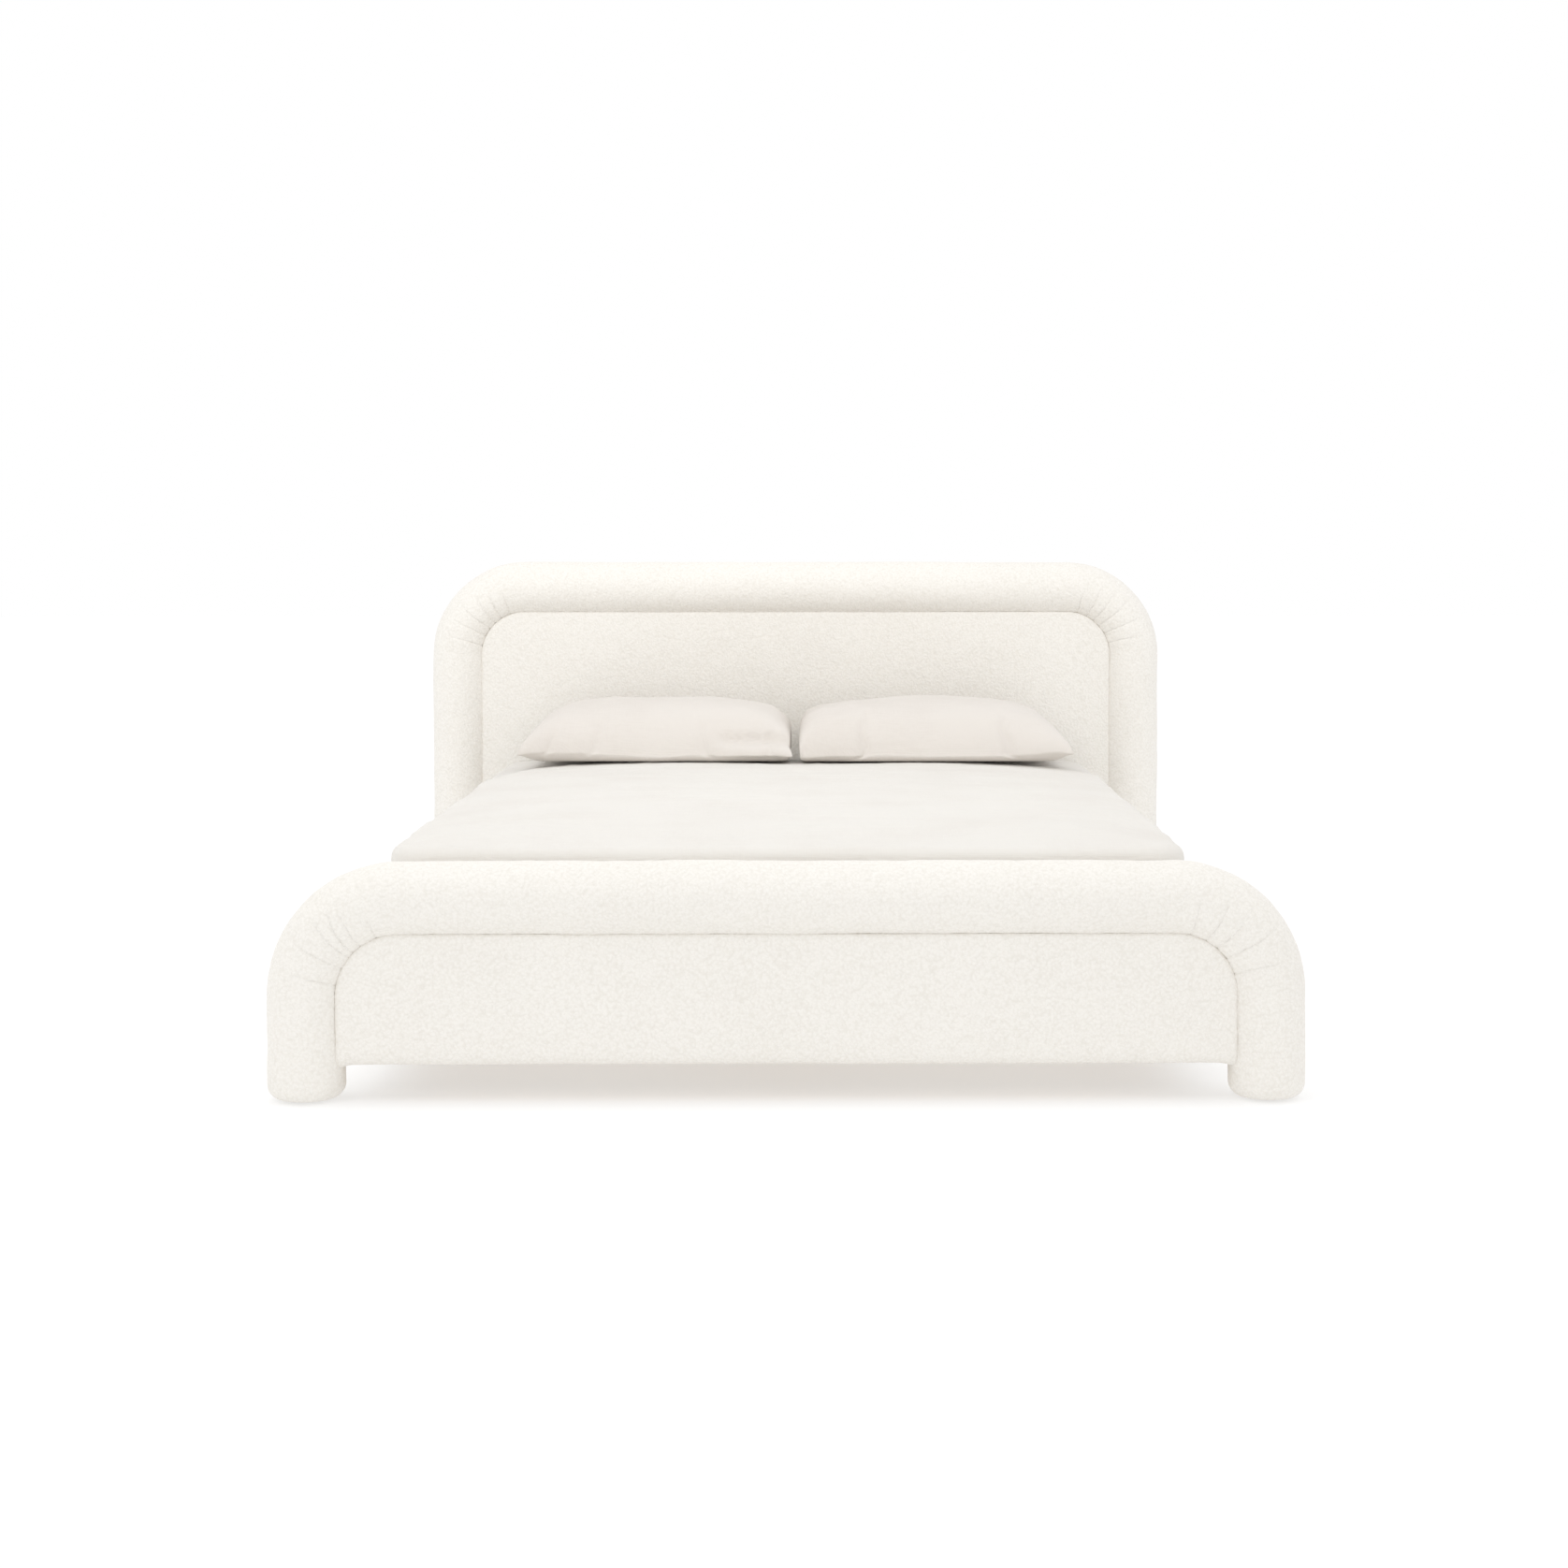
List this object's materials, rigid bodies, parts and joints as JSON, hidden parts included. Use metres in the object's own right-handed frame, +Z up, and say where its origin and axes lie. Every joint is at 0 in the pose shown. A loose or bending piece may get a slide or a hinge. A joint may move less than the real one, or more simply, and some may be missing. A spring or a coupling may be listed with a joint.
{
  "type": "upholstered headboard bed",
  "caption": "Upholstered platform bed with matching arched head and foot boards, padded rolls, slat deck, mattress, coverlet and pillows.",
  "frame": {"origin": "on the floor, under the middle of the bed's outline", "axes": "+X across the bed, towards the right seen from its foot; +Y along the bed, from the footboard to the headboard; +Z up"},
  "size_m": [1.95, 2.3518, 0.99],
  "materials": {
    "boucle": "cream boucle upholstery, nubby and matt",
    "coverlet": "washed off-white linen, finely wrinkled",
    "sheet": "plain white cotton percale, matt",
    "pillowcase": "warm off-white linen, matt",
    "ticking": "white quilted knit, matt",
    "timber": "planed pine, unfinished",
    "plywood": "plywood, unfinished",
    "slat_birch": "clear-lacquered birch, satin",
    "black_steel": "black powder coat, satin",
    "zinc_steel": "zinc-plated steel",
    "nylon": "black nylon, matt"
  },
  "bodies": {
    "frame": {"headboard_roll": "boucle", "headboard_pad": "boucle", "headboard_panel": "plywood", "headboard_posts": "timber", "headboard_top_rail": "timber", "headboard_corner_blocks": "timber", "headboard_battens": "timber", "headboard_back_cover": "boucle", "footboard_roll": "boucle", "footboard_pad": "boucle", "footboard_panel": "plywood", "footboard_posts": "timber", "footboard_top_rail": "timber", "footboard_corner_blocks": "timber", "footboard_battens": "timber", "footboard_back_cover": "boucle", "side_rail_left": "timber", "side_rail_right": "timber", "rail_cover_left": "boucle", "rail_cover_right": "boucle", "ledger_left": "timber", "ledger_right": "timber", "bracket_foot_left": "black_steel", "bracket_foot_right": "black_steel", "bracket_head_left": "black_steel", "bracket_head_right": "black_steel", "board_bolts": "zinc_steel", "board_tee_nuts": "zinc_steel", "rail_bolts": "zinc_steel", "rail_tee_nuts": "zinc_steel", "centre_beam": "timber", "beam_hangers": "black_steel", "hanger_screws": "zinc_steel", "centre_leg_foot": "black_steel", "centre_leg_head": "black_steel", "leg_screws": "zinc_steel", "slat_01": "slat_birch", "slat_02": "slat_birch", "slat_03": "slat_birch", "slat_04": "slat_birch", "slat_05": "slat_birch", "slat_06": "slat_birch", "slat_07": "slat_birch", "slat_08": "slat_birch", "slat_09": "slat_birch", "slat_10": "slat_birch", "slat_11": "slat_birch", "slat_12": "slat_birch", "slat_screws": "zinc_steel", "floor_glides": "nylon"},
    "mattress": {"mattress": "ticking", "fitted_sheet": "sheet", "coverlet": "coverlet"},
    "pillow_left": {"pillow_left_case": "pillowcase", "pillow_left_insert": "ticking"},
    "pillow_right": {"pillow_right_case": "pillowcase", "pillow_right_insert": "ticking"},
    "leveller_foot": {"leveller_foot": "nylon"},
    "leveller_head": {"leveller_head": "nylon"}
  },
  "joints": [
    {"name": "mattress_lift", "type": "slide", "parent": "frame", "child": "mattress", "axis": [0, 0, 1], "range_m": [0, 0.35]},
    {"name": "pillow_left_lift", "type": "slide", "parent": "mattress", "child": "pillow_left", "axis": [0, 0, 1], "range_m": [0, 0.4]},
    {"name": "pillow_right_lift", "type": "slide", "parent": "mattress", "child": "pillow_right", "axis": [0, 0, 1], "range_m": [0, 0.4]},
    {"name": "leveller_foot_screw", "type": "slide", "parent": "frame", "child": "leveller_foot", "axis": [0, 0, 1], "range_m": [0, 0.01]},
    {"name": "leveller_head_screw", "type": "slide", "parent": "frame", "child": "leveller_head", "axis": [0, 0, 1], "range_m": [0, 0.01]}
  ]
}
